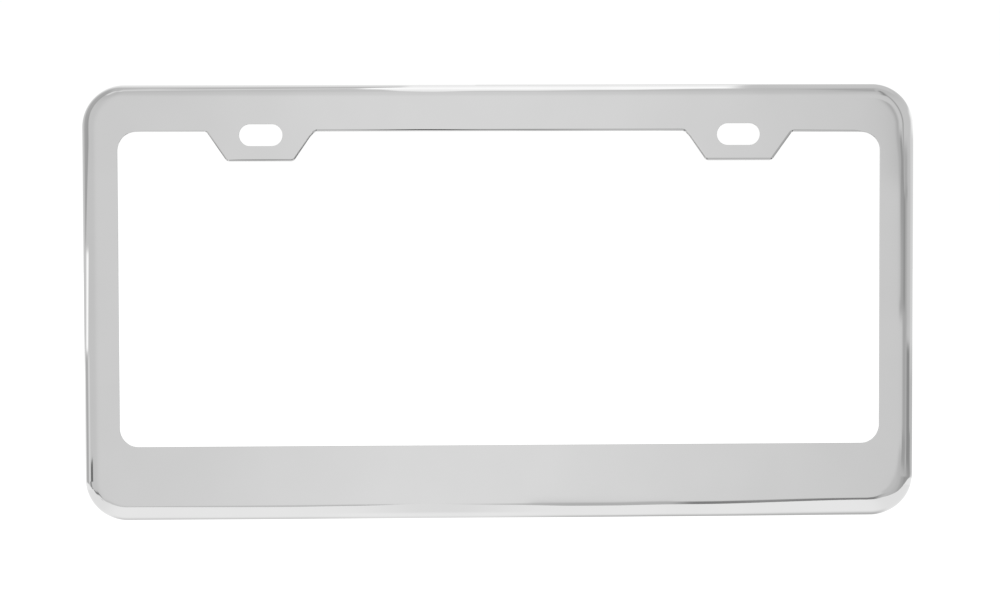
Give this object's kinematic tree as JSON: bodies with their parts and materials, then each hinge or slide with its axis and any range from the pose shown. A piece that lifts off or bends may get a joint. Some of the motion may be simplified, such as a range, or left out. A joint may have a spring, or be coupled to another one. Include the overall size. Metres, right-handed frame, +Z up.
{
  "type": "number plate holder",
  "caption": "Mirror-polished pressed steel frame for a number plate, with a bent-back rim, a wide window and slotted bolt tabs at its upper edge.",
  "frame": {"origin": "midway between the two bolt slots, on the back of the flat face", "axes": "+X to the right along the line of the slots as seen from the front, +Y from the face towards the vehicle, +Z up"},
  "size_m": [0.311, 0.0085, 0.1626],
  "materials": {
    "polished_steel": "mirror polished sheet"
  },
  "bodies": {
    "root": {"plate_frame": "polished_steel"}
  },
  "joints": []
}
